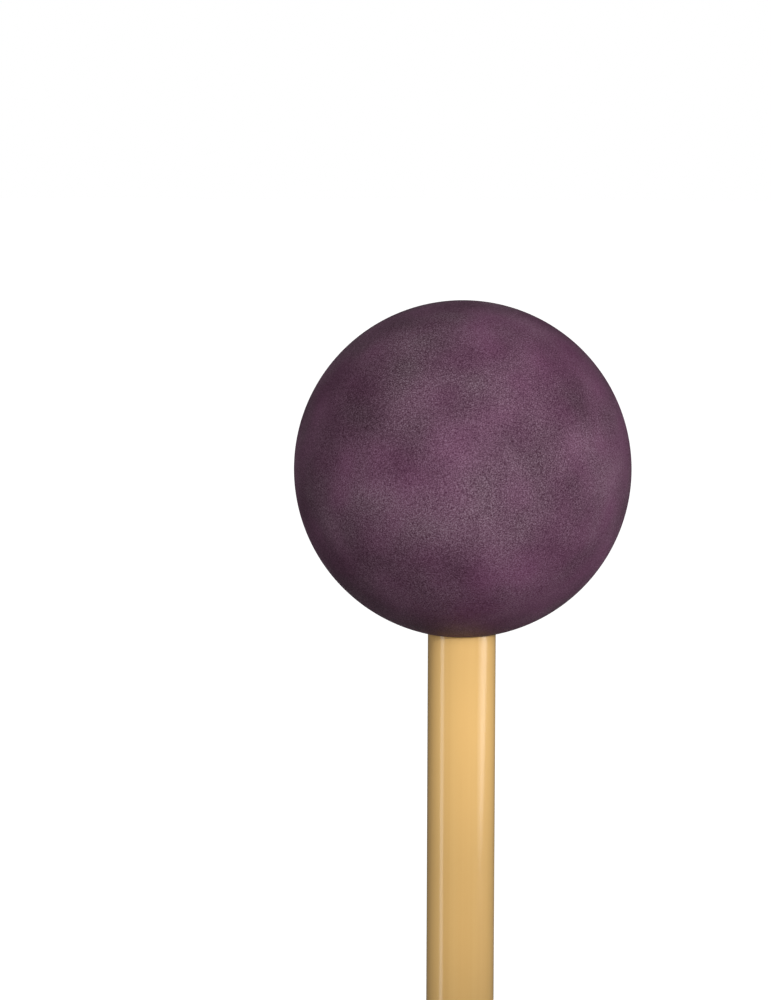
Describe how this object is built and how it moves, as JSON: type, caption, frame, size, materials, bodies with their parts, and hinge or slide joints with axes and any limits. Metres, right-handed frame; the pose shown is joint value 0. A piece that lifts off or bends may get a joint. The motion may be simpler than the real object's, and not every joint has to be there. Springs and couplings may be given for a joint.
{
  "type": "marimba mallet",
  "caption": "Keyboard percussion mallet: a solid moulded rubber ball head glued on a slim lacquered rattan shaft whose butt end is sanded round.",
  "frame": {"origin": "the fulcrum of the player's grip: on the shaft's axis, 130 mm above the flat of the butt end", "axes": "+Z along the shaft from the butt to the head; +X and +Y are any two square directions across it"},
  "size_m": [0.035, 0.035, 0.4],
  "materials": {
    "plum_rubber": "matt moulded rubber, dark plum with soft cloudy mottling and a fine grain",
    "lacquered_rattan": "glossy lacquer over honey coloured cane skin; pale, pored fibre ends where the butt is sanded",
    "amber_glue": "cured clear amber adhesive, hidden inside the head"
  },
  "bodies": {
    "root": {"rubber_ball": "plum_rubber", "rattan_shaft": "lacquered_rattan", "glue_film": "amber_glue"}
  },
  "joints": []
}
